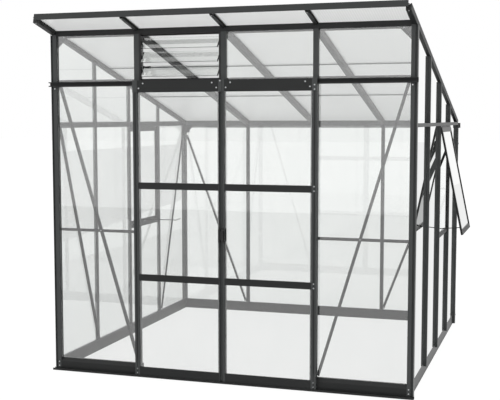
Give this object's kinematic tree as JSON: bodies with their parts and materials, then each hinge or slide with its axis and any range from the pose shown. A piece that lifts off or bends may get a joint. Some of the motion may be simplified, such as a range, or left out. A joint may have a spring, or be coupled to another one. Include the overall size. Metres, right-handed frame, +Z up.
{
  "type": "greenhouse",
  "caption": "Free-standing pent-roof greenhouse with a dark aluminium frame, glass walls, an overhanging fluted roof, double sliding doors, side windows and a louvre.",
  "frame": {"origin": "on the ground, under the middle of the front base rail", "axes": "+X to the right seen from the doors, +Y from the doors to the low back, +Z up"},
  "size_m": [2.7087, 2.8604, 2.4681],
  "materials": {
    "powder_coat": "anthracite powder coat on aluminium",
    "glass": "clear toughened glass",
    "polycarbonate": "fluted clear sheet",
    "clear_plastic": "extruded clear strip",
    "black_plastic": "moulded, matt",
    "zinc_steel": "zinc plated"
  },
  "bodies": {
    "frame": {"corner_posts": "powder_coat", "base_rails": "powder_coat", "transom": "powder_coat", "front_top_plate": "powder_coat", "eave_rail": "powder_coat", "side_rails": "powder_coat", "side_bars": "powder_coat", "rear_bars": "powder_coat", "door_jambs": "powder_coat", "front_mullions": "powder_coat", "front_glass": "glass", "side_glass": "glass", "rear_glass": "glass", "verge_bars": "powder_coat", "roof_bars": "powder_coat", "roof_sheets": "polycarbonate", "sheet_joiners": "clear_plastic", "roof_fascia": "powder_coat", "gutter": "powder_coat", "end_caps": "black_plastic", "door_track": "powder_coat", "sill_track": "powder_coat", "front_strips": "powder_coat", "wall_braces": "powder_coat", "corner_gussets": "powder_coat", "window_sills": "powder_coat", "window_rods": "zinc_steel", "stay_pegs": "zinc_steel", "louvre_frame": "powder_coat", "frame_bolts": "zinc_steel"},
    "left_door": {"left_door_stiles": "powder_coat", "left_door_rails": "powder_coat", "left_door_panes": "glass", "left_door_handle": "black_plastic", "left_door_shoes": "black_plastic", "left_door_bolts": "zinc_steel"},
    "left_inner_wheel": {"left_door_inner_wheel": "black_plastic"},
    "left_outer_wheel": {"left_door_outer_wheel": "black_plastic"},
    "left_window": {"left_window_frame": "powder_coat", "left_window_pane": "glass"},
    "left_stay": {"left_stay": "powder_coat"},
    "right_door": {"right_door_stiles": "powder_coat", "right_door_rails": "powder_coat", "right_door_panes": "glass", "right_door_handle": "black_plastic", "right_door_shoes": "black_plastic", "right_door_bolts": "zinc_steel"},
    "right_inner_wheel": {"right_door_inner_wheel": "black_plastic"},
    "right_outer_wheel": {"right_door_outer_wheel": "black_plastic"},
    "right_window": {"right_window_frame": "powder_coat", "right_window_pane": "glass"},
    "right_stay": {"right_stay": "powder_coat"},
    "louvre_blade_1": {"louvre_blade_1": "glass", "louvre_clips_1": "black_plastic"},
    "louvre_blade_2": {"louvre_blade_2": "glass", "louvre_clips_2": "black_plastic"},
    "louvre_blade_3": {"louvre_blade_3": "glass", "louvre_clips_3": "black_plastic"},
    "louvre_link": {"louvre_link": "black_plastic", "louvre_handle": "black_plastic"}
  },
  "joints": [
    {"name": "left_door_slide", "type": "slide", "parent": "frame", "child": "left_door", "axis": [-1, 0, 0], "range_m": [0, 0.6]},
    {"name": "left_inner_wheel_spin", "type": "hinge", "parent": "left_door", "child": "left_inner_wheel", "pos_m": [-0.0695, -0.0325, 2.0075], "axis": [0, -1, 0], "range_deg": [0, 2940]},
    {"name": "left_outer_wheel_spin", "type": "hinge", "parent": "left_door", "child": "left_outer_wheel", "pos_m": [-0.56, -0.0325, 2.0075], "axis": [0, -1, 0], "range_deg": [0, 2940]},
    {"name": "right_door_slide", "type": "slide", "parent": "frame", "child": "right_door", "axis": [1, 0, 0], "range_m": [0, 0.6]},
    {"name": "right_inner_wheel_spin", "type": "hinge", "parent": "right_door", "child": "right_inner_wheel", "pos_m": [0.0575, -0.0325, 2.0075], "axis": [0, 1, 0], "range_deg": [0, 2940]},
    {"name": "right_outer_wheel_spin", "type": "hinge", "parent": "right_door", "child": "right_outer_wheel", "pos_m": [0.56, -0.0325, 2.0075], "axis": [0, 1, 0], "range_deg": [0, 2940]},
    {"name": "left_window_hinge", "type": "hinge", "parent": "frame", "child": "left_window", "pos_m": [-1.262, 1.555, 1.71], "axis": [0, 1, 0], "range_deg": [0, 20]},
    {"name": "left_stay_pivot", "type": "hinge", "parent": "left_window", "child": "left_stay", "pos_m": [-1.249, 1.555, 0.922], "axis": [0, 1, 0], "range_deg": [-11.6, 0]},
    {"name": "right_window_hinge", "type": "hinge", "parent": "frame", "child": "right_window", "pos_m": [1.262, 1.555, 1.71], "axis": [0, -1, 0], "range_deg": [-11.7, 8.3]},
    {"name": "right_stay_pivot", "type": "hinge", "parent": "right_window", "child": "right_stay", "pos_m": [1.40907, 1.555, 0.93574], "axis": [0, -1, 0], "range_deg": [-4.81, 6.79]},
    {"name": "louvre_blade_2_turn", "type": "hinge", "parent": "frame", "child": "louvre_blade_2", "pos_m": [-0.31, -0.008, 2.183], "axis": [-1, 0, 0], "range_deg": [-34, 23]},
    {"name": "louvre_blade_1_turn", "type": "hinge", "parent": "frame", "child": "louvre_blade_1", "pos_m": [-0.31, -0.008, 2.09], "axis": [-1, 0, 0], "range_deg": [-34, 23]},
    {"name": "louvre_blade_3_turn", "type": "hinge", "parent": "frame", "child": "louvre_blade_3", "pos_m": [-0.31, -0.008, 2.276], "axis": [-1, 0, 0], "range_deg": [-34, 23]},
    {"name": "louvre_link_pin", "type": "hinge", "parent": "louvre_blade_2", "child": "louvre_link", "pos_m": [-0.586, 0.01058, 2.16627], "axis": [-1, 0, 0], "range_deg": [-23, 34]}
  ],
  "couplings": [
    {"joint": "left_inner_wheel_spin", "follows": "left_door_slide", "rad_per_m": 85.47},
    {"joint": "left_outer_wheel_spin", "follows": "left_door_slide", "rad_per_m": 85.47},
    {"joint": "right_inner_wheel_spin", "follows": "right_door_slide", "rad_per_m": 85.47},
    {"joint": "right_outer_wheel_spin", "follows": "right_door_slide", "rad_per_m": 85.47},
    {"joint": "left_stay_pivot", "follows": "left_window_hinge", "ratio": -0.58},
    {"joint": "right_stay_pivot", "follows": "right_window_hinge", "ratio": -0.58},
    {"joint": "louvre_blade_1_turn", "follows": "louvre_blade_2_turn", "ratio": 1},
    {"joint": "louvre_blade_3_turn", "follows": "louvre_blade_2_turn", "ratio": 1},
    {"joint": "louvre_link_pin", "follows": "louvre_blade_2_turn", "ratio": -1}
  ]
}
